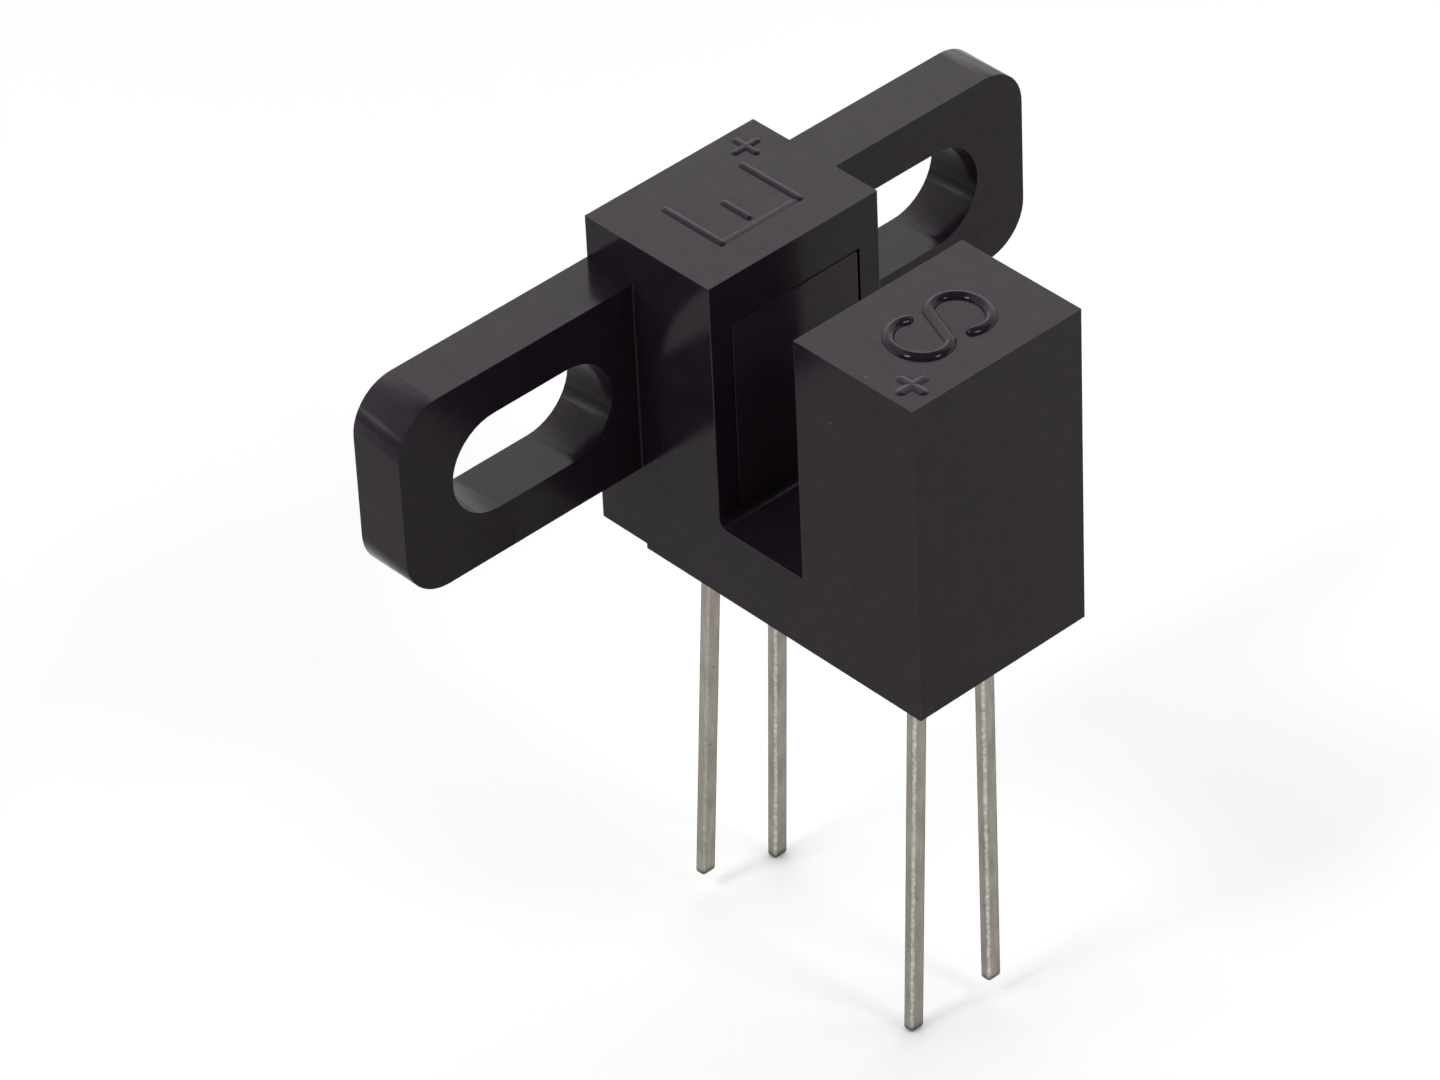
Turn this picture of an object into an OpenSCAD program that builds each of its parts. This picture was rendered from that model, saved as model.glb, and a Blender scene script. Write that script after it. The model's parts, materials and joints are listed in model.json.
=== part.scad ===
// Slotted optical switch: two towers face each other over a throat, one sends a beam and one receives it.
// Origin: middle of the two flange slots, on the flange's back face.
// +X runs from the flange to the sensor tower, +Y along the flange, +Z up, with the leads pointing down.

/* [Housing] */
// Wall behind the emitter pocket, on the flange's side
emitter_wall = 1.45; // [0.8:0.05:2.5]
// Wall in front of the sensor pocket
sensor_wall = 1.05; // [0.6:0.05:2]
// Walls at both sides of a pocket
side_wall = 0.745; // [0.5:0.005:1.5]
// Roof of a tower above its pocket
roof = 1.55; // [0.8:0.05:2.5]
// Width of the throat that a flag passes through
throat_width = 3.3; // [2:0.05:5]
// Height of the throat's floor above the board
throat_floor = 2.45; // [1.8:0.05:3.5]
// Radius of the towers' upright corners
edge_radius = 0.03; // [0.02:0.01:0.4]
// Fillet between the throat's floor and the emitter's wall
throat_fillet = 0.3; // [0.1:0.05:0.6]
// Fillet between the flange's front and the body's sides
root_fillet = 0.06; // [0.03:0.01:0.6]
// Height of the heel behind the body, which stays clear of the board
heel_lift = 0.12; // [0.04:0.02:0.4]
// Inset of the heel's sides from the body's sides
heel_inset = 0.04; // [0.02:0.01:0.2]

/* [Flange] */
// Length of the flange, end to end
flange_length = 23.6; // [22:0.1:30]
// Height of the flange plate
flange_height = 6.3; // [5:0.05:7]
// Thickness of the flange plate
flange_thickness = 1.85; // [1.2:0.05:2.6]
// Radius of the flange's four corners
flange_corner = 1.45; // [0.5:0.05:2.4]
// Height of the flange's lower edge above the board
flange_foot = 2.86; // [1.5:0.02:4]
// Distance between the middles of the two screw slots
slot_spacing = 14.1; // [12.6:0.1:17]
// End-to-end length of a screw slot
slot_length = 5.86; // [4:0.02:6.8]
// Width of a screw slot
slot_width = 3.2; // [2.2:0.05:3.8]

/* [Pockets and shells] */
// Width of a pocket along the flange
pocket_width = 4.86; // [4.4:0.02:6]
// Depth of a pocket from the throat's wall
pocket_depth = 3.5; // [3.2:0.05:4.5]
// Height of a shell
shell_height = 7.64; // [6.5:0.02:9]
// Wall of a shell
shell_wall = 0.55; // [0.35:0.05:0.7]
// Seam between a shell and its pocket
shell_gap = 0.06; // [0.03:0.01:0.15]
// How deep the seal's face lies above the board
seal_recess = 0.3; // [0.1:0.05:0.8]
// Height of the seal under a shell
seal_height = 1; // [0.5:0.05:1.6]

/* [Lead frames] */
// Spacing of the two leads of a pair
lead_pitch = 2.54; // [2.2:0.02:3]
// Width of a lead
lead_width = 0.52; // [0.4:0.02:0.7]
// Thickness of a lead
lead_thickness = 0.38; // [0.25:0.01:0.5]
// Length of the anode and collector leads below the body
long_lead = 14; // [8:0.1:20]
// Length of the two other leads below the body
short_lead = 13.3; // [7:0.1:19]
// Room between a lead frame and the back wall of its shell
frame_standoff = 0.23; // [0.1:0.01:0.4]
// Depth of the beam's axis below the shell's inner ceiling
beam_drop = 0.85; // [0.7:0.05:1.4]
// Height of the pad under a chip
pad_height = 1.1; // [0.9:0.05:1.3]
// Reach of the pad past the beam's axis
pad_reach = 0.45; // [0.4:0.01:0.6]
// Height of the head of a bond post
post_height = 0.7; // [0.4:0.05:1]
// Gap between the pad and the head of the bond post
frame_gap = 0.3; // [0.2:0.02:0.4]
// Depth of the leads' bends below the seal
bend_drop = 0.1; // [0.05:0.05:0.25]
// Lean of the emitter's anode lead away from the throat, in degrees
anode_lean_angle = 2.8; // [-5:0.1:5]
// Lean of the emitter's cathode lead away from the throat, in degrees
cathode_lean_angle = 4.4; // [-5:0.1:5]
// Lean of the sensor's collector lead away from the throat, in degrees
collector_lean_angle = -2.4; // [-5:0.1:5]
// Lean of the sensor's emitter lead away from the throat, in degrees
emitter_lean_angle = 0; // [-5:0.1:5]

/* [Chips] */
// Width and height of the emitter chip
emitter_chip_width = 0.36; // [0.2:0.02:0.6]
// Width and height of the sensor chip
sensor_chip_width = 0.6; // [0.3:0.02:0.76]
// Thickness of a chip
chip_thickness = 0.2; // [0.1:0.01:0.3]
// Diameter of a bond wire
wire_diameter = 0.04; // [0.02:0.005:0.06]

/* [Hidden] */
$fn = 64;

// Cuts run this far past the faces that they open
past = 1;

// Heights, all measured from the board
pocket_top = seal_recess + seal_height + shell_height + shell_gap;
body_height = pocket_top + roof;
shell_foot = seal_recess + seal_height;
shell_top = shell_foot + shell_height;
beam_height = shell_top - shell_wall - beam_drop;

// Plan of the body
body_width = pocket_width + 2 * side_wall;
emitter_face = emitter_wall + pocket_depth;
sensor_face = emitter_face + throat_width;
body_length = sensor_face + pocket_depth + sensor_wall;
board = -(flange_foot + flange_height / 2);

// Depths in a tower, measured back from the throat's wall
shell_depth = pocket_depth - shell_gap;
shell_width = pocket_width - 2 * shell_gap;
frame_back = shell_depth - shell_wall - frame_standoff;
frame_front = frame_back - lead_thickness;
chip_front = frame_front - chip_thickness;

// Places along the lead frame's width
lead_y = lead_pitch / 2;
frame_edge = lead_y + lead_width / 2;
post_edge = pad_reach + frame_gap;
post_middle = (frame_edge + post_edge) / 2;
wire_radius = post_middle / 2;

// Puts a shape into the emitter tower, which lies behind x = 0 and stands on z = 0
module in_emitter_tower() {
    translate([emitter_face, 0, board])
        children();
}

// The same for the sensor tower, which faces the other way
module in_sensor_tower() {
    translate([sensor_face, 0, board])
        rotate([0, 0, 180])
            children();
}

// A block between two depths behind the throat's wall, centred on the beam's plane
module block(deep, shallow, width, low, high) {
    translate([-deep, -width / 2, low])
        cube([deep - shallow, width, high - low]);
}

// A plate in the plane of the flange, from an outline drawn along Y and Z
module upright_plate(thickness) {
    rotate([90, 0, 90])
        linear_extrude(thickness)
            children();
}

// A plate across the body's width, from an outline drawn along X and Z
module cross_plate(width) {
    translate([0, width / 2, 0])
        rotate([90, 0, 0])
            linear_extrude(width)
                children();
}

module rounded_rectangle(length, height, radius) {
    square([length, height - 2 * radius], center = true);
    square([length - 2 * radius, height], center = true);
    for (y = [-1, 1], z = [-1, 1])
        translate([y * (length / 2 - radius), z * (height / 2 - radius)])
            circle(radius);
}

module obround(length, width) {
    square([length - width, width], center = true);
    for (y = [-1, 1])
        translate([y * (length - width) / 2, 0])
            circle(d = width);
}

// A tower between two places along X, with rounded upright corners
module tower(back, front) {
    length = front - back;
    translate([back + length / 2, 0, 0])
        linear_extrude(body_height)
            rounded_rectangle(length, body_width, edge_radius);
}

// Outline of the fillet in a corner at the origin
module fillet(radius) {
    difference() {
        square(radius);
        translate([radius, radius])
            circle(radius);
    }
}

// Bridge under the throat, which also fills the towers' rounded corners there
module bridge() {
    translate([emitter_face - edge_radius, -body_width / 2, 0])
        cube([throat_width + 2 * edge_radius, body_width, throat_floor]);
    translate([emitter_face, 0, throat_floor])
        cross_plate(body_width)
            fillet(throat_fillet);
}

// Room that is cut out of the emitter tower's back below the flange, for the heel
module heel_room() {
    translate([-past, -body_width / 2 - past, -past])
        cube([flange_thickness + past, body_width + 2 * past, flange_foot + past]);
}

module heel() {
    width = body_width - 2 * heel_inset;
    translate([0, -width / 2, heel_lift])
        cube([flange_thickness, width, flange_foot - heel_lift]);
}

module body() {
    difference() {
        union() {
            tower(0, emitter_face);
            tower(sensor_face, body_length);
            bridge();
        }
        heel_room();
    }
    heel();
}

module flange() {
    upright_plate(flange_thickness)
        difference() {
            rounded_rectangle(flange_length, flange_height, flange_corner);
            for (side = [-1, 1])
                translate([side * slot_spacing / 2, 0])
                    obround(slot_length, slot_width);
        }
}

module flange_roots() {
    for (side = [0, 1])
        mirror([0, side, 0])
            translate([flange_thickness, body_width / 2, -flange_height / 2])
                linear_extrude(flange_height)
                    fillet(root_fillet);
}

module pocket() {
    block(pocket_depth, 0, pocket_width, -past, pocket_top);
}

module housing() {
    color("#2d2a2c")
        difference() {
            union() {
                translate([0, 0, board])
                    body();
                flange();
                flange_roots();
            }
            in_emitter_tower() pocket();
            in_sensor_tower() pocket();
        }
}

// Cup that is open below, with its flat face in the throat's wall
module shell() {
    difference() {
        block(shell_depth, 0, shell_width, shell_foot, shell_top);
        shell_cavity(shell_foot - past);
    }
}

module shell_cavity(low) {
    block(shell_depth - shell_wall, shell_wall, shell_width - 2 * shell_wall, low, shell_top - shell_wall);
}

// Free length of a lead: straight through the seal, then leaning from the bend down to the square cut
module lead_leg(length, lean) {
    middle = -(frame_back + frame_front) / 2;
    bend = seal_recess - bend_drop;
    half = lead_thickness / 2;
    mitre = half * tan(lean / 2);
    shift = (length + bend) * tan(lean);
    foot = half / cos(lean);
    translate([middle, 0, 0])
        cross_plate(lead_width)
            polygon([
                [-half, shell_foot],
                [half, shell_foot],
                [half, bend - mitre],
                [foot - shift, -length],
                [-foot - shift, -length],
                [-half, bend + mitre],
            ]);
}

// Part of a lead inside the shell: the shank and the head that turns in towards the beam's axis
module lead_head(head_reach, head_height) {
    translate([-frame_back, 0, 0])
        upright_plate(lead_thickness) {
            translate([lead_y - lead_width / 2, shell_foot])
                square([lead_width, beam_height + head_height / 2 - shell_foot]);
            translate([-head_reach, beam_height - head_height / 2])
                square([frame_edge + head_reach, head_height]);
        }
}

module pad_lead(lean) {
    translate([0, lead_y, 0])
        lead_leg(long_lead, lean);
    lead_head(pad_reach, pad_height);
}

module post_lead(lean) {
    translate([0, -lead_y, 0])
        lead_leg(short_lead, lean);
    mirror([0, 1, 0])
        lead_head(-post_edge, post_height);
}

module chip(width) {
    block(frame_front, chip_front, width, beam_height - width / 2, beam_height + width / 2);
}

// Loop of wire from the middle of the chip over to the bond post
module bond_wire() {
    translate([-chip_front, -wire_radius, beam_height]) {
        rotate([0, 0, -90])
            rotate_extrude(angle = 180)
                translate([wire_radius, 0])
                    circle(d = wire_diameter, $fn = 16);
        translate([-chip_thickness, -wire_radius, 0])
            rotate([0, 90, 0])
                cylinder(d = wire_diameter, h = chip_thickness, $fn = 16);
    }
}

// Clear epoxy that fills the cup around the lead frame
module encapsulant(chip_width) {
    difference() {
        shell_cavity(shell_foot);
        pad_lead(0);
        post_lead(0);
        chip(chip_width);
        bond_wire();
    }
}

// Backfill between the shell and the underside, with the leads passing through
module seal() {
    difference() {
        block(pocket_depth, 0, pocket_width, seal_recess, shell_foot);
        for (side = [-1, 1])
            translate([0, side * lead_y, 0])
                block(frame_back, frame_front, lead_width, -past, shell_foot + past);
    }
}

module emitter_shell() {
    color("#242022") in_emitter_tower() shell();
}

module sensor_shell() {
    color("#242022") in_sensor_tower() shell();
}

module emitter_encapsulant() {
    color("#d8d2c2") in_emitter_tower() encapsulant(emitter_chip_width);
}

module sensor_encapsulant() {
    color("#d8d2c2") in_sensor_tower() encapsulant(sensor_chip_width);
}

module emitter_seal() {
    color("#1e1c1d") in_emitter_tower() seal();
}

module sensor_seal() {
    color("#1e1c1d") in_sensor_tower() seal();
}

module emitter_anode_lead() {
    color("#a8a195") in_emitter_tower() pad_lead(anode_lean_angle);
}

module emitter_cathode_lead() {
    color("#a8a195") in_emitter_tower() post_lead(cathode_lean_angle);
}

module sensor_collector_lead() {
    color("#a8a195") in_sensor_tower() pad_lead(collector_lean_angle);
}

module sensor_emitter_lead() {
    color("#a8a195") in_sensor_tower() post_lead(emitter_lean_angle);
}

module emitter_chip() {
    color("#4a4450") in_emitter_tower() chip(emitter_chip_width);
}

module sensor_chip() {
    color("#3c4658") in_sensor_tower() chip(sensor_chip_width);
}

module emitter_bond_wire() {
    color("#d9b45a") in_emitter_tower() bond_wire();
}

module sensor_bond_wire() {
    color("#d9b45a") in_sensor_tower() bond_wire();
}

housing();
emitter_shell();
sensor_shell();
emitter_encapsulant();
sensor_encapsulant();
emitter_seal();
sensor_seal();
emitter_anode_lead();
emitter_cathode_lead();
sensor_collector_lead();
sensor_emitter_lead();
emitter_chip();
sensor_chip();
emitter_bond_wire();
sensor_bond_wire();
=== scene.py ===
"""Slotted optical switch: finishes, raised marks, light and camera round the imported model."""
import json
import math

import bmesh
import bpy
from mathutils import Matrix, Vector


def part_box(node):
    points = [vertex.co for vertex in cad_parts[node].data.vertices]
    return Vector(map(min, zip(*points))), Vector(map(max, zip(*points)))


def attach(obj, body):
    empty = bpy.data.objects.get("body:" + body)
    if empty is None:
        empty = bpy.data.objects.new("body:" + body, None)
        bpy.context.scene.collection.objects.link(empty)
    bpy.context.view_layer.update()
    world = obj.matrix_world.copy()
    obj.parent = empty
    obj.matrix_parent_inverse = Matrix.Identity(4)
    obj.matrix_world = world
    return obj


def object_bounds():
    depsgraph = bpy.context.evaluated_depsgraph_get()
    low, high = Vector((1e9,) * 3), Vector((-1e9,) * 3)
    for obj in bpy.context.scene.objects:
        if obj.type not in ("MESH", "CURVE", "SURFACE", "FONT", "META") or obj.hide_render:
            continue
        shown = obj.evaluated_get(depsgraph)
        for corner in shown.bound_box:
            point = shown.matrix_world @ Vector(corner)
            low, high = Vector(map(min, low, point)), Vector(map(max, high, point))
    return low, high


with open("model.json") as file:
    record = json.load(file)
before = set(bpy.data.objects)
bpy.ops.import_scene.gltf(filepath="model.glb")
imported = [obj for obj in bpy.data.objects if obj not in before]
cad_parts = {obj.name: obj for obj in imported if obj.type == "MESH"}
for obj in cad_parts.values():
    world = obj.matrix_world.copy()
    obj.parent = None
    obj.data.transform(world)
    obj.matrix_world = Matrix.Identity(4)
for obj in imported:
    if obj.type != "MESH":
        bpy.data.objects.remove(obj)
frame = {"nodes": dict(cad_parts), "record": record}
CAD_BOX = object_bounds()
NODES = frame["nodes"]
MM = 0.001

# Camera at the photo's angle: angles in degrees, lengths in millimetres, focal length in photo pixels
AZIMUTH = 48.49
ELEVATION = 38.15
ROLL = -2.78
AIM = Vector((3.70, -2.08, -5.33))
DISTANCE = 212.9
FOCAL_PIXELS = 7633.6
PHOTO_WIDTH = 1440
SENSOR_WIDTH = 36
NEAREST_SEEN = 10
FARTHEST_SEEN = 10000

# Rounded edges: radii and reaches in millimetres, angles in degrees
HOUSING_EDGE = 0.03
SHELL_EDGE = 0.06
LEAD_EDGE = 0.11
EDGE_SEGMENTS = 3
SHARP_ANGLE = 40
FLAT_ANGLE = 0.5
WELD_REACH = 0.0005
FLAT_FACE_WEIGHT = 100

# Raised marks on the tower tops, in millimetres, and how square the section of their ridges is
EMITTER_MARK_WIDTH = 0.25
EMITTER_ARM_HEIGHT = 0.08
EMITTER_SPINE_HEIGHT = 0.02
EMITTER_MARK_SQUARENESS = 2
EMITTER_PLUS_PLACE = (0.83, 2.12)
EMITTER_PLUS_HEIGHT = 0.07
SENSOR_MARK_WIDTH = 0.38
SENSOR_LETTER_HEIGHT = 0.16
SENSOR_MARK_SQUARENESS = 1.5
SENSOR_PLUS_PLACE = (11.95, -2.34)
SENSOR_PLUS_HEIGHT = 0.06
PLUS_REACH = 0.4
MARK_ROOT = 0.01

# Patterns in the finishes, in millimetres
FLOW_WAVE = 1.6
FLOW_DEPTH = 0.02
GLOSS_PATCH = 0.5
MOULD_GRAIN = 0.07
GRAIN_DEPTH = 0.004
# The towers, which carry the painted highlight on their upright edges, start this far along X
HIGHLIGHT_FROM = 3
DUST_SPACING = 0.6
DUST_SIZE = 0.03
TIN_TINT = 1.8
TIN_PATCH = 0.45
TIN_DEPTH = 0.02
TIN_STREAK = 0.08
TIN_BEAD = 0.15
TIN_PIT_SPACING = 0.25
TIN_PIT_SIZE = 0.05
# Radii over which the leads' painted highlight and painted shade follow their corners and their tip
LEAD_CORNER = 0.12
TIP_SHADE_RADIUS = 0.4
EPOXY_RIPPLE = 0.8
EPOXY_DEPTH = 0.05
DIE_TONE = 0.15

# Shares and ranges in the finishes
NOISE_RANGE = {"From Min": 0.3, "From Max": 0.7}
NOISE_MIDDLE = {"From Min": 0.35, "From Max": 0.65}
GRAIN_SHARE = 0.6
DUSTY_SHARE = 0.05
GLOSS_SWING = 0.03
PITTED_SHARE = 0.15
FAINTEST_HIGHLIGHT_SHARE = 0.35
CORNER_WANDER = 0.14
METAL_HAZE = 0.08

# Directions in the finishes: how patterns stretch along a lead, a lead's outer corner, and straight down
DRAWN_STRETCH = (1, 1, 0.05)
PATCH_STRETCH = (1, 1, 0.4)
OUTER_CORNER = (0.707, -0.707, 0)
DOWN = (0, 0, -1)

# Matched far under polycarbonate's usual 1.58, because the walls mirror the white floor only faintly
PLASTIC_IOR = 1.165

# Surround: levels where 1 is white, directions of length 1, and heights and cosines measured on them
ROOM_LEVEL = 0.3
WINDOW_LEVEL = 3.9
WINDOW_SIDE = (-0.906, 0.423, 0)
WINDOW_EDGE = -0.05
WINDOW_EDGE_BLUR = 0.1
WINDOW_TOP = 0.9
WINDOW_TOP_BLUR = 0.06
WINDOW_MIDDLE = (-0.589, 0.521, 0.618)
WINDOW_RIM = 0.766
WINDOW_RIM_SHARE = 0.66
WINDOW_FOOT = 0.4
WINDOW_FOOT_SHARE = 0.6
FLOOR_LIFT = 0.05

# Floor and lamps: lengths in millimetres, powers in watts
FLOOR_REACH = 3000
LAMP_SIZE = 60
LAMP_FORWARD = 120
LAMP_SIDE = 160
LAMP_HEIGHT = 200
LEFT_LAMP_POWER = 0.38
RIGHT_LAMP_POWER = 0.22
CARD_LAMP_SIZE = 50
RIGHT_CARD_LAMP = (70, 60, 20)
RIGHT_CARD_POWER = 0.075
LEFT_CARD_LAMP = (-66, -88, 20)
LEFT_CARD_POWER = 0.045


# Materials

def colour(code):
    """Linear colour with alpha from an sRGB hex code."""
    shares = [int(code[i:i + 2], 16) / 255 for i in (1, 3, 5)]
    linear = [share / 12.92 if share <= 0.04045 else ((share + 0.055) / 1.055) ** 2.4 for share in shares]
    return linear + [1]


def per_metre(size):
    """Texture scale for features of a size in millimetres."""
    return 1 / (size * MM)


def add(tree, kind, inputs, **settings):
    """Adds a node with its settings, and sets its inputs or links them to other nodes."""
    made = tree.nodes.new(kind)
    for name, value in settings.items():
        setattr(made, name, value)
    for socket, value in inputs.items():
        if isinstance(value, bpy.types.Node):
            value = next(output for output in value.outputs if output.enabled)
        if isinstance(value, bpy.types.NodeSocket):
            tree.links.new(value, made.inputs[socket])
        else:
            made.inputs[socket].default_value = value
    return made


def new_material(name):
    """An empty material, its tree and the place on the piece that its patterns follow."""
    material = bpy.data.materials.new(name)
    material.use_nodes = True
    tree = material.node_tree
    tree.nodes.clear()
    return material, tree, add(tree, "ShaderNodeTexCoord", {}).outputs["Object"]


def specks(tree, place, spacing, share, size):
    """Mask of round specks: cells of a spacing in millimetres, of which a share hold a speck of a size."""
    cells = add(tree, "ShaderNodeTexVoronoi", {"Vector": place, "Scale": per_metre(spacing)})
    draw = add(tree, "ShaderNodeSeparateColor", {"Color": cells.outputs["Color"]})
    chosen = add(tree, "ShaderNodeMath", {0: draw, 1: share}, operation="LESS_THAN")
    reach = size / spacing
    inside = add(tree, "ShaderNodeMapRange", {"Value": cells, "From Min": reach / 2, "From Max": reach,
                                              "To Min": 1, "To Max": 0})
    return add(tree, "ShaderNodeMath", {0: chosen, 1: inside}, operation="MULTIPLY")


def moulded_polycarbonate(name, dark, light, rough, highlight_share):
    """Black polycarbonate, moulded in a polished steel mould.

    The eye sees a deep black with a gloss that mirrors the walls beside it, slightly wavy where the melt
    flowed and uneven where it was handled. The towers' upright edges carry a painted highlight, by a share
    that is given. The mould's grain is drawn coarser than it is, because the real one is too fine to show.
    """
    material, tree, place = new_material(name)
    flow = add(tree, "ShaderNodeTexNoise", {"Vector": place, "Scale": per_metre(FLOW_WAVE), "Detail": 2})
    patches = add(tree, "ShaderNodeTexNoise", {"Vector": place, "Scale": per_metre(GLOSS_PATCH),
                                               "Detail": 3})
    grain = add(tree, "ShaderNodeTexNoise", {"Vector": place, "Scale": per_metre(MOULD_GRAIN), "Detail": 2})
    film = add(tree, "ShaderNodeMix", {"Factor": GRAIN_SHARE, "A": patches, "B": grain}, data_type="FLOAT")
    cover = add(tree, "ShaderNodeMapRange", {"Value": film, **NOISE_MIDDLE})
    tone = add(tree, "ShaderNodeMix", {"Factor": cover, "A": colour(dark), "B": colour(light)},
               data_type="RGBA")
    dust = specks(tree, place, DUST_SPACING, DUSTY_SHARE, DUST_SIZE)
    dusty = add(tree, "ShaderNodeMix", {"Factor": dust, "A": tone, "B": colour("#5c565a")}, data_type="RGBA")
    # Painted highlight: the towers' upright edges are mixed towards a lighter colour
    # The product of the normal's X and Y is 0 on the walls and largest in the middle of an upright edge
    normal = add(tree, "ShaderNodeNewGeometry", {}).outputs["Normal"]
    facing = add(tree, "ShaderNodeSeparateXYZ", {"Vector": normal})
    turned = add(tree, "ShaderNodeMath", {0: facing.outputs["X"], 1: facing.outputs["Y"]},
                 operation="MULTIPLY")
    upright = add(tree, "ShaderNodeMath", {0: turned}, operation="ABSOLUTE")
    corner = add(tree, "ShaderNodeMapRange", {"Value": upright, "From Min": 0.1, "From Max": 0.4,
                                              "To Min": 0, "To Max": highlight_share})
    reach = add(tree, "ShaderNodeSeparateXYZ", {"Vector": place}).outputs["X"]
    tower = add(tree, "ShaderNodeMath", {0: reach, 1: HIGHLIGHT_FROM * MM}, operation="GREATER_THAN")
    edge = add(tree, "ShaderNodeMath", {0: corner, 1: tower}, operation="MULTIPLY")
    base = add(tree, "ShaderNodeMix", {"Factor": edge, "A": dusty, "B": colour("#332c32")}, data_type="RGBA")
    shine = add(tree, "ShaderNodeMapRange", {"Value": cover, "To Min": 0.46, "To Max": 0.54})
    gloss = add(tree, "ShaderNodeMapRange", {"Value": patches, **NOISE_RANGE,
                                             "To Min": rough - GLOSS_SWING, "To Max": rough + GLOSS_SWING})
    waves = add(tree, "ShaderNodeBump", {"Height": flow, "Strength": 0.2, "Distance": FLOW_DEPTH * MM})
    finish = add(tree, "ShaderNodeBump", {"Height": grain, "Strength": 0.2, "Distance": GRAIN_DEPTH * MM,
                                          "Normal": waves})
    shader = add(tree, "ShaderNodeBsdfPrincipled", {"Base Color": base, "Roughness": gloss, "Normal": finish,
                                                    "IOR": PLASTIC_IOR, "Specular IOR Level": shine})
    add(tree, "ShaderNodeOutputMaterial", {"Surface": shader})
    return material


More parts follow.
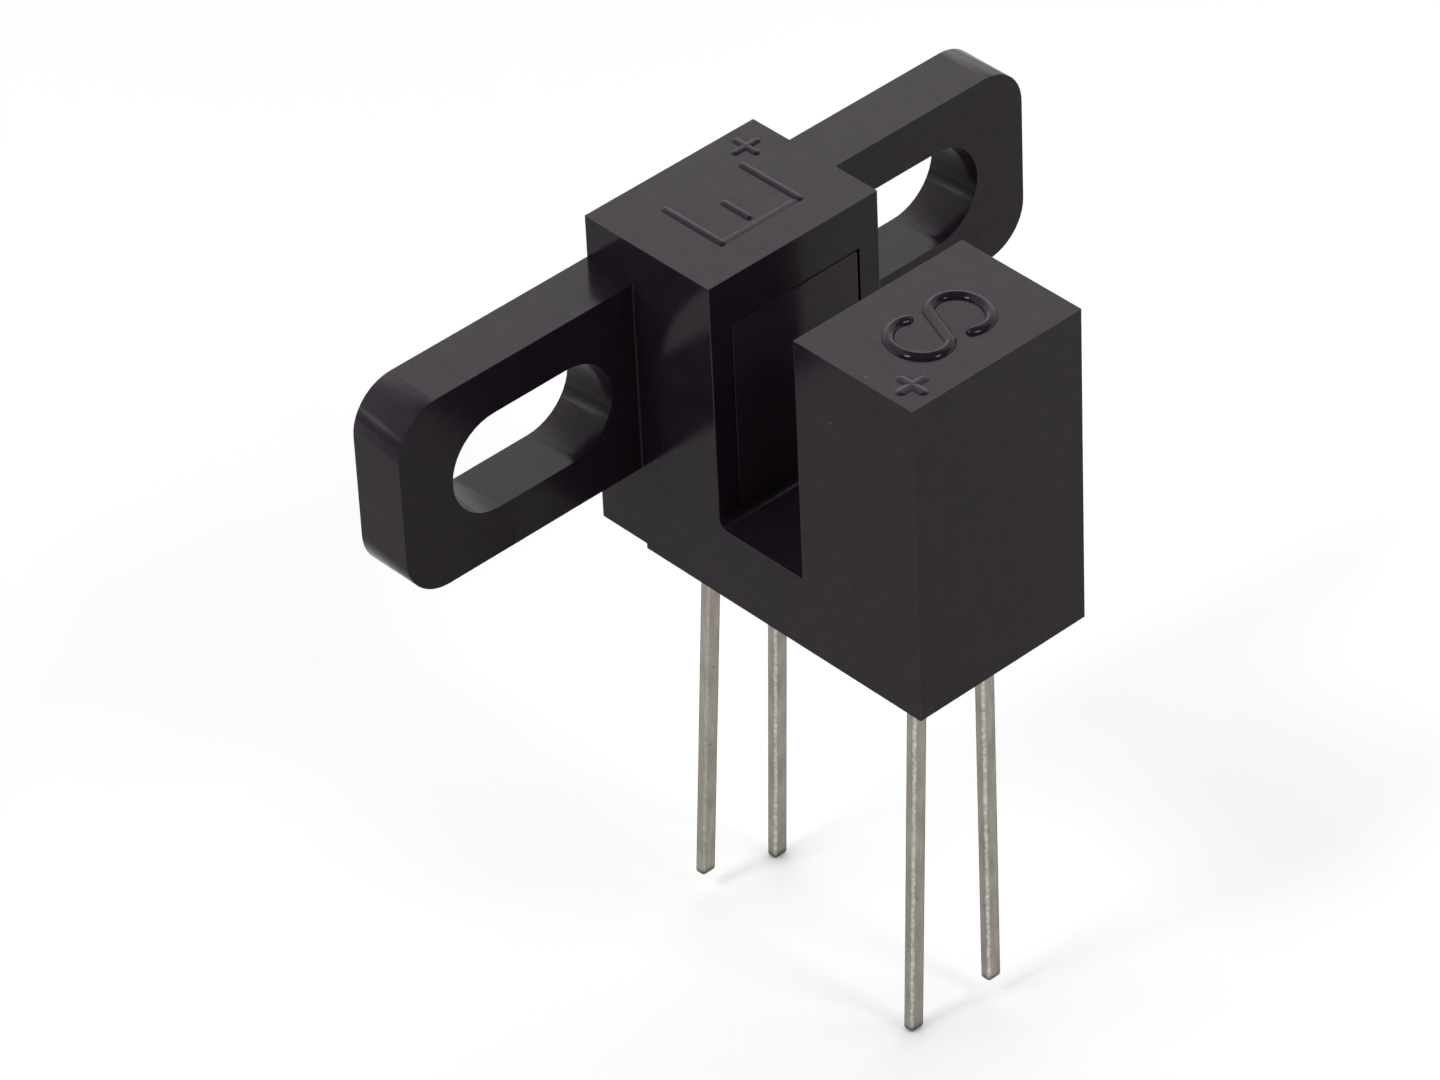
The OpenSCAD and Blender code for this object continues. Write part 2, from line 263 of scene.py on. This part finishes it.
def tinned_copper_alloy(name, highlight_share):
    """Copper alloy stamped from strip and dipped in tin.

    The eye sees dull warm grey metal that changes tone and tint softly along the lead, with faint drawing
    lines and a few pits. The outer corner carries an uneven painted highlight, by a share that is given, and
    the other corners and the tip carry painted shade.
    """
    material, tree, place = new_material(name)
    along = add(tree, "ShaderNodeVectorMath", {0: place, 1: DRAWN_STRETCH}, operation="MULTIPLY")
    spread = add(tree, "ShaderNodeVectorMath", {0: place, 1: PATCH_STRETCH}, operation="MULTIPLY")
    streaks = add(tree, "ShaderNodeTexNoise", {"Vector": along, "Scale": per_metre(TIN_STREAK), "Detail": 3})
    patches = add(tree, "ShaderNodeTexNoise", {"Vector": spread, "Scale": per_metre(TIN_PATCH), "Detail": 4})
    beads = add(tree, "ShaderNodeTexNoise", {"Vector": place, "Scale": per_metre(TIN_BEAD), "Detail": 2})
    drift = add(tree, "ShaderNodeTexNoise", {"Vector": spread, "Scale": per_metre(TIN_TINT), "Detail": 1})
    # Plain metal: cool and warm tin, with drawing lines and pits
    cover = add(tree, "ShaderNodeMapRange", {"Value": patches, **NOISE_RANGE})
    tint = add(tree, "ShaderNodeMapRange", {"Value": drift, **NOISE_MIDDLE})
    cool = add(tree, "ShaderNodeMix", {"Factor": cover, "A": colour("#7f7e73"), "B": colour("#9c9a8e")},
               data_type="RGBA")
    warm = add(tree, "ShaderNodeMix", {"Factor": cover, "A": colour("#837d75"), "B": colour("#a19990")},
               data_type="RGBA")
    dull = add(tree, "ShaderNodeMix", {"Factor": tint, "A": cool, "B": warm}, data_type="RGBA")
    drawn = add(tree, "ShaderNodeMapRange", {"Value": streaks, **NOISE_MIDDLE, "To Min": 0, "To Max": 0.4})
    lined = add(tree, "ShaderNodeMix", {"Factor": drawn, "A": dull, "B": colour("#6f6a62")},
                data_type="RGBA")
    pits = specks(tree, place, TIN_PIT_SPACING, PITTED_SHARE, TIN_PIT_SIZE)
    pitted = add(tree, "ShaderNodeMix", {"Factor": pits, "A": lined, "B": colour("#5b564f")},
                 data_type="RGBA")
    #     Painted shade on the corners that face away, and a painted highlight on the outer one
    rounded = add(tree, "ShaderNodeBevel", {"Radius": LEAD_CORNER * MM}, samples=8)
    outer = add(tree, "ShaderNodeVectorMath", {0: rounded, 1: OUTER_CORNER}, operation="DOT_PRODUCT")
    outward = outer.outputs["Value"]
    # Painted shade: corners whose rounded normal turns away from the outer corner are mixed towards dark
    # grey
    turned = add(tree, "ShaderNodeMapRange", {"Value": outward, "From Min": 0.3, "From Max": 0.66,
                                              "To Min": 0.75, "To Max": 0})
    painted_corner_shade = add(tree, "ShaderNodeMix", {"Factor": turned, "A": pitted, "B": colour("#57534d")},
                    data_type="RGBA")
    # Painted highlight: the outer corner is mixed towards a bright tin colour, broken up by noise
    wander = add(tree, "ShaderNodeMath", {0: beads, 1: CORNER_WANDER, 2: outward}, operation="MULTIPLY_ADD")
    corner = add(tree, "ShaderNodeMapRange", {"Value": wander, "From Min": 0.91, "From Max": 1.04})
    highlight_strength = add(tree, "ShaderNodeMapRange", {"Value": beads, **NOISE_MIDDLE,
                                            "To Min": FAINTEST_HIGHLIGHT_SHARE * highlight_share, "To Max": highlight_share})
    highlight_mask = add(tree, "ShaderNodeMath", {0: corner, 1: highlight_strength}, operation="MULTIPLY")
    highlighted = add(tree, "ShaderNodeMix", {"Factor": highlight_mask, "A": painted_corner_shade, "B": colour("#dcd8d0")},
                 data_type="RGBA")
    #     Painted shade at the tip, where its rounded edges turn downward
    tip_normal = add(tree, "ShaderNodeBevel", {"Radius": TIP_SHADE_RADIUS * MM}, samples=8)
    lower = add(tree, "ShaderNodeVectorMath", {0: tip_normal, 1: DOWN}, operation="DOT_PRODUCT")
    downward = lower.outputs["Value"]
    tip = add(tree, "ShaderNodeMapRange", {"Value": downward, "From Min": 0.09, "From Max": 0.2,
                                           "To Min": 0, "To Max": 0.9})
    base = add(tree, "ShaderNodeMix", {"Factor": tip, "A": highlighted, "B": colour("#47433d")}, data_type="RGBA")
    gloss = add(tree, "ShaderNodeMapRange", {"Value": patches, **NOISE_RANGE,
                                             "To Min": 0.28, "To Max": 0.42})
    finish = add(tree, "ShaderNodeBump", {"Height": patches, "Strength": 0.5, "Distance": TIN_DEPTH * MM})
    shader = add(tree, "ShaderNodeBsdfPrincipled", {"Base Color": base, "Roughness": gloss, "Normal": finish,
                                                    "Metallic": 1.0})
    add(tree, "ShaderNodeOutputMaterial", {"Surface": shader})
    return material


def black_potting_epoxy():
    """Black epoxy, poured in behind the shells: smooth and glossy, with a slightly uneven level."""
    material, tree, place = new_material("black_potting_epoxy")
    ripple = add(tree, "ShaderNodeTexNoise", {"Vector": place, "Scale": per_metre(EPOXY_RIPPLE),
                                              "Detail": 2})
    base = add(tree, "ShaderNodeMix", {"Factor": ripple, "A": colour("#151416"), "B": colour("#232124")},
               data_type="RGBA")
    gloss = add(tree, "ShaderNodeMapRange", {"Value": ripple, **NOISE_RANGE, "To Min": 0.18, "To Max": 0.34})
    finish = add(tree, "ShaderNodeBump", {"Height": ripple, "Strength": 0.6, "Distance": EPOXY_DEPTH * MM})
    shader = add(tree, "ShaderNodeBsdfPrincipled", {"Base Color": base, "Roughness": gloss, "Normal": finish,
                                                    "IOR": 1.5})
    add(tree, "ShaderNodeOutputMaterial", {"Surface": shader})
    return material


def clear_cast_epoxy():
    """Epoxy cast round the lead frames: clear and faintly yellow, with a little haze."""
    material, tree, place = new_material("clear_cast_epoxy")
    haze = add(tree, "ShaderNodeTexNoise", {"Vector": place, "Scale": per_metre(EPOXY_RIPPLE), "Detail": 2})
    base = add(tree, "ShaderNodeMix", {"Factor": haze, "A": colour("#efe8d4"), "B": colour("#e0d6bb")},
               data_type="RGBA")
    gloss = add(tree, "ShaderNodeMapRange", {"Value": haze, **NOISE_RANGE, "To Min": 0.02, "To Max": 0.1})
    shader = add(tree, "ShaderNodeBsdfPrincipled", {"Base Color": base, "Roughness": gloss, "IOR": 1.54,
                                                    "Transmission Weight": 0.95})
    add(tree, "ShaderNodeOutputMaterial", {"Surface": shader})
    return material


def bright_metal(name, light, dark, rough):
    """Polished chip or drawn wire: a mirror finish with a faint change of tone over it."""
    material, tree, place = new_material(name)
    tone = add(tree, "ShaderNodeTexNoise", {"Vector": place, "Scale": per_metre(DIE_TONE), "Detail": 2})
    base = add(tree, "ShaderNodeMix", {"Factor": tone, "A": colour(light), "B": colour(dark)},
               data_type="RGBA")
    gloss = add(tree, "ShaderNodeMapRange", {"Value": tone, **NOISE_RANGE,
                                             "To Min": rough, "To Max": rough + METAL_HAZE})
    shader = add(tree, "ShaderNodeBsdfPrincipled", {"Base Color": base, "Roughness": gloss, "Metallic": 1.0})
    add(tree, "ShaderNodeOutputMaterial", {"Surface": shader})
    return material


# The shells' plastic passes infrared: it looks a shade lighter than the housing's, and smoother
FINISHES = {
    "housing_plastic": moulded_polycarbonate("black_moulded_polycarbonate", dark="#161017", light="#1b141b",
                                             rough=0.17, highlight_share=1),
    "shell_plastic": moulded_polycarbonate("infrared_clear_polycarbonate", dark="#1e171e", light="#231b22",
                                           rough=0.12, highlight_share=0),
    "tinned_lead": tinned_copper_alloy("tinned_copper_alloy", highlight_share=0.75),
    "black_epoxy": black_potting_epoxy(),
    "clear_epoxy": clear_cast_epoxy(),
    "emitter_die": bright_metal("gallium_arsenide_chip", light="#7d7684", dark="#56505f", rough=0.18),
    "sensor_die": bright_metal("silicon_chip", light="#5d6a80", dark="#3d485c", rough=0.14),
    "gold_wire": bright_metal("drawn_gold_wire", light="#e8c46a", dark="#c99b3d", rough=0.2),
}

# One lead gets a fainter painted highlight on its outer corner
LEAST_HIGHLIGHTED_LEAD = "emitter_cathode_lead"
LEAST_HIGHLIGHTED_FINISH = tinned_copper_alloy("less_highlighted_tinned_copper_alloy", highlight_share=0.3)

# The marks are smoother than the rest of the housing, so their glints are sharper
MARK_FINISH = moulded_polycarbonate("polished_mark_polycarbonate", dark="#161017", light="#1b141b",
                                    rough=0.07, highlight_share=0)


def dress_nodes():
    """Gives every node the finish of its material slot, and the lead with the faintest painted highlight its
    own.
    """
    for part in frame["record"]["subparts"]:
        piece = NODES[part["node"]]
        piece.data.materials.clear()
        piece.data.materials.append(FINISHES[part["material_slot"]])
    NODES[LEAST_HIGHLIGHTED_LEAD].data.materials[0] = LEAST_HIGHLIGHTED_FINISH


# Rounded edges on the solids

def round_edges(name, radius):
    """Rounds a node's sharp edges with modifiers, which leave its own mesh as it is."""
    piece = NODES[name]
    piece.data.shade_smooth()
    weld = piece.modifiers.new("weld", "WELD")
    weld.merge_threshold = WELD_REACH * MM
    flat = piece.modifiers.new("flat_faces", "DECIMATE")
    flat.decimate_type = "DISSOLVE"
    flat.angle_limit = math.radians(FLAT_ANGLE)
    bevel = piece.modifiers.new("edges", "BEVEL")
    bevel.width = radius * MM
    bevel.segments = EDGE_SEGMENTS
    bevel.limit_method = "ANGLE"
    bevel.angle_limit = math.radians(SHARP_ANGLE)
    level = piece.modifiers.new("level_faces", "WEIGHTED_NORMAL")
    level.mode = "FACE_AREA"
    level.weight = FLAT_FACE_WEIGHT


# Raised marks

def oval_arc(centre, radii, start, end, steps=18):
    """Points on part of an oval between two angles in degrees."""
    turns = [math.radians(start + (end - start) * i / steps) for i in range(steps + 1)]
    return [(centre[0] + radii[0] * math.cos(turn), centre[1] + radii[1] * math.sin(turn)) for turn in turns]


def ridge_section(squareness, across=16):
    """Section of a ridge: places across it and heights, at most 1, and half-round at a squareness of 2."""
    turns = [math.pi * i / across for i in range(across + 1)]
    return [(math.copysign(abs(math.cos(turn)) ** (2 / squareness), math.cos(turn)),
             abs(math.sin(turn)) ** (2 / squareness)) for turn in turns]


def add_ridge(mesh, path, width, height, section):
    """Adds a ridge with round ends along a flat path to a mesh."""
    points = [Vector(point) for point in path]
    headings = [(points[min(i + 1, len(points) - 1)] - points[max(i - 1, 0)]).normalized()
                for i in range(len(points))]
    # The outermost ring stands a part of a step inside the tip, so that it doesn't shrink to a point
    end_steps = 6
    first_step = 0.3
    reaches = [math.cos(math.pi / 2 * (i + first_step) / end_steps) for i in range(end_steps)]
    stations = [(points[0] - headings[0] * reach * width / 2, headings[0], math.sqrt(1 - reach ** 2))
                for reach in reaches]
    stations += [(point, heading, 1) for point, heading in zip(points, headings)]
    stations += [(points[-1] + headings[-1] * reach * width / 2, headings[-1], math.sqrt(1 - reach ** 2))
                 for reach in reversed(reaches)]
    rings = []
    for point, heading, scale in stations:
        side = Vector((-heading.y, heading.x)) * width / 2 * scale
        ring = [(point + side * place, rise * height * scale) for place, rise in section]
        rings.append([mesh.verts.new((spot.x, spot.y, rise - MARK_ROOT)) for spot, rise in ring])
    for first, second in zip(rings, rings[1:]):
        for i in range(len(section)):
            j = (i + 1) % len(section)
            mesh.faces.new((first[i], first[j], second[j], second[i]))
    mesh.faces.new(rings[0])
    mesh.faces.new(reversed(rings[-1]))


def plus_strokes(centre, height):
    """The two strokes of a plus sign, each with its height."""
    x, y = centre
    return [
        ([(x - PLUS_REACH, y), (x + PLUS_REACH, y)], height),
        ([(x, y - PLUS_REACH), (x, y + PLUS_REACH)], height),
    ]


def raised_mark(name, strokes, width, squareness):
    """One mesh of ridges standing on the towers' top face."""
    mesh = bmesh.new()
    for path, height in strokes:
        add_ridge(mesh, path, width, height, ridge_section(squareness))
    bmesh.ops.recalc_face_normals(mesh, faces=mesh.faces)
    mesh.transform(Matrix.Scale(MM, 4))
    data = bpy.data.meshes.new(name)
    mesh.to_mesh(data)
    mesh.free()
    data.shade_smooth()
    data.materials.append(MARK_FINISH)
    piece = bpy.data.objects.new(name, data)
    piece.location.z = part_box("housing")[1].z
    bpy.context.collection.objects.link(piece)
    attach(piece, "root")


def emitter_letter():
    """Letter for the emitter, with its spine along the throat and its arms towards the flange."""
    spine, arm_end, arm_y = 3.65, 1.42, 1.45
    short_arm_end, short_arm_root, short_arm_y = 2.35, 3.3, -0.12
    return [
        ([(arm_end, -arm_y), (spine, -arm_y)], EMITTER_ARM_HEIGHT),
        ([(arm_end, arm_y), (spine, arm_y)], EMITTER_ARM_HEIGHT),
        ([(short_arm_end, short_arm_y), (short_arm_root, short_arm_y)], EMITTER_ARM_HEIGHT),
        ([(spine, -arm_y), (spine, arm_y)], EMITTER_SPINE_HEIGHT),
    ]


def sensor_letter():
    """Letter for the sensor: a bowl, and the same bowl turned half round, joined by a slanting stroke."""
    middle_x, bowl_y, bowl_radii = 10.6, 0.76, (0.9, 0.78)
    bowl_start, bowl_end = 155, 400
    bowl = oval_arc((middle_x, -bowl_y), bowl_radii, bowl_start, bowl_end)
    turned_bowl = [(2 * middle_x - x, -y) for x, y in reversed(bowl)]
    return [(bowl + turned_bowl, SENSOR_LETTER_HEIGHT)]


def make_marks():
    """The letter and the plus sign of each tower, as one piece for each tower."""
    raised_mark("emitter_marks", emitter_letter() + plus_strokes(EMITTER_PLUS_PLACE, EMITTER_PLUS_HEIGHT),
                EMITTER_MARK_WIDTH, EMITTER_MARK_SQUARENESS)
    raised_mark("sensor_marks", sensor_letter() + plus_strokes(SENSOR_PLUS_PLACE, SENSOR_PLUS_HEIGHT),
                SENSOR_MARK_WIDTH, SENSOR_MARK_SQUARENESS)


# Floor, light and camera

def view_axes():
    """Right, up and back directions of the camera."""
    azimuth, elevation, roll = (math.radians(angle) for angle in (AZIMUTH, ELEVATION, ROLL))
    back = Vector((math.sin(azimuth) * math.cos(elevation), -math.cos(azimuth) * math.cos(elevation),
                   math.sin(elevation)))
    level_right = Vector((math.cos(azimuth), math.sin(azimuth), 0))
    level_up = back.cross(level_right)
    right = level_right * math.cos(roll) + level_up * math.sin(roll)
    up = level_up * math.cos(roll) - level_right * math.sin(roll)
    return right, up, back


def make_camera():
    """Camera at the photo's angle and distance."""
    right, up, back = view_axes()
    lens = bpy.data.cameras.new("camera")
    lens.sensor_width = SENSOR_WIDTH
    lens.lens = FOCAL_PIXELS / PHOTO_WIDTH * SENSOR_WIDTH
    lens.clip_start = NEAREST_SEEN * MM
    lens.clip_end = FARTHEST_SEEN * MM
    camera = bpy.data.objects.new("camera", lens)
    turn = Matrix((right, up, back)).transposed().to_4x4()
    camera.matrix_world = Matrix.Translation((AIM + back * DISTANCE) * MM) @ turn
    bpy.context.collection.objects.link(camera)
    bpy.context.scene.camera = camera


def make_floor():
    """Matt card under the leads, lifted to white where it is seen or mirrored, with its shadows kept."""
    reach = FLOOR_REACH * MM
    low = CAD_BOX[0].z
    corners = [(-reach, -reach, low), (reach, -reach, low), (reach, reach, low), (-reach, reach, low)]
    data = bpy.data.meshes.new("floor")
    data.from_pydata(corners, [], [(0, 1, 2, 3)])
    floor = bpy.data.objects.new("floor", data)
    bpy.context.collection.objects.link(floor)
    material, tree, _ = new_material("matt_white_card")
    ray = add(tree, "ShaderNodeLightPath", {})
    seen = add(tree, "ShaderNodeMath", {0: ray.outputs["Is Camera Ray"], 1: ray.outputs["Is Glossy Ray"]},
               operation="MAXIMUM")
    shown = add(tree, "ShaderNodeMath", {0: seen, 1: ray.outputs["Is Transmission Ray"]},
                operation="MAXIMUM")
    lift = add(tree, "ShaderNodeMath", {0: shown, 1: FLOOR_LIFT}, operation="MULTIPLY")
    card = add(tree, "ShaderNodeBsdfPrincipled", {"Base Color": colour("#b6b6b6"), "Roughness": 0.9,
                                                  "Emission Color": colour("#ffffff"),
                                                  "Emission Strength": lift})
    add(tree, "ShaderNodeOutputMaterial", {"Surface": card})
    data.materials.append(material)


def make_world():
    """Soft studio surround: a dim room with a bright window round the half behind the switch."""
    world = bpy.data.worlds.new("studio")
    bpy.context.scene.world = world
    world.use_nodes = True
    tree = world.node_tree
    tree.nodes.clear()
    place = add(tree, "ShaderNodeTexCoord", {}).outputs["Generated"]
    height = add(tree, "ShaderNodeSeparateXYZ", {"Vector": place}).outputs["Z"]
    # The pane lies under the window's top and between its sides
    under = add(tree, "ShaderNodeMapRange", {"Value": height, "From Min": WINDOW_TOP - WINDOW_TOP_BLUR,
                                             "From Max": WINDOW_TOP + WINDOW_TOP_BLUR,
                                             "To Min": 1, "To Max": 0}, interpolation_type="SMOOTHSTEP")
    level_place = add(tree, "ShaderNodeVectorMath", {0: place, 1: (1, 1, 0)}, operation="MULTIPLY")
    heading = add(tree, "ShaderNodeVectorMath", {0: level_place}, operation="NORMALIZE")
    facing = add(tree, "ShaderNodeVectorMath", {0: heading, 1: WINDOW_SIDE}, operation="DOT_PRODUCT")
    inside = add(tree, "ShaderNodeMapRange", {"Value": facing.outputs["Value"],
                                              "From Min": WINDOW_EDGE - WINDOW_EDGE_BLUR,
                                              "From Max": WINDOW_EDGE + WINDOW_EDGE_BLUR},
                 interpolation_type="SMOOTHSTEP")
    pane = add(tree, "ShaderNodeMath", {0: under, 1: inside}, operation="MULTIPLY")
    # It is brightest in its middle, and fades towards its rim and its foot
    nearness = add(tree, "ShaderNodeVectorMath", {0: place, 1: WINDOW_MIDDLE}, operation="DOT_PRODUCT")
    glow = add(tree, "ShaderNodeMapRange", {"Value": nearness.outputs["Value"], "From Min": WINDOW_RIM,
                                            "From Max": 1, "To Min": WINDOW_RIM_SHARE, "To Max": 1})
    foot = add(tree, "ShaderNodeMapRange", {"Value": height, "From Min": 0, "From Max": WINDOW_FOOT,
                                            "To Min": WINDOW_FOOT_SHARE, "To Max": 1})
    shade = add(tree, "ShaderNodeMath", {0: glow, 1: foot}, operation="MULTIPLY")
    share = add(tree, "ShaderNodeMath", {0: pane, 1: shade}, operation="MULTIPLY")
    level = add(tree, "ShaderNodeMapRange", {"Value": share, "To Min": ROOM_LEVEL, "To Max": WINDOW_LEVEL})
    light = add(tree, "ShaderNodeBackground", {"Color": colour("#ffffff"), "Strength": level})
    add(tree, "ShaderNodeOutputWorld", {"Surface": light})


def make_lamp(name, place, target, size, power):
    """Square lamp that shines from a place to a target, both in millimetres."""
    data = bpy.data.lights.new(name, "AREA")
    data.size = size * MM
    data.energy = power
    lamp = bpy.data.objects.new(name, data)
    lamp.location = place * MM
    lamp.rotation_euler = (place - target).to_track_quat("Z", "Y").to_euler()
    bpy.context.collection.objects.link(lamp)


def make_lamps():
    """Two lamps beside the camera, and two low over the card, right of the switch and left of it."""
    right, _, back = view_axes()
    forward = Vector((back.x, back.y, 0)).normalized()
    for name, side, power in (("left_lamp", -1, LEFT_LAMP_POWER), ("right_lamp", 1, RIGHT_LAMP_POWER)):
        place = forward * LAMP_FORWARD + right * side * LAMP_SIDE + Vector((0, 0, LAMP_HEIGHT))
        make_lamp(name, place, Vector(), LAMP_SIZE, power)
    for name, over_card, power in (("right_card_lamp", Vector(RIGHT_CARD_LAMP), RIGHT_CARD_POWER),
                                   ("left_card_lamp", Vector(LEFT_CARD_LAMP), LEFT_CARD_POWER)):
        make_lamp(name, over_card, over_card + Vector(DOWN), CARD_LAMP_SIZE, power)



make_camera()
dress_nodes()
round_edges("housing", HOUSING_EDGE)
for shell in ("emitter_shell", "sensor_shell"):
    round_edges(shell, SHELL_EDGE)
for lead in [name for name in NODES if name.endswith("_lead")]:
    round_edges(lead, LEAD_EDGE)
make_marks()
make_floor()
make_world()
make_lamps()
bpy.context.scene.view_settings.view_transform = "Standard"
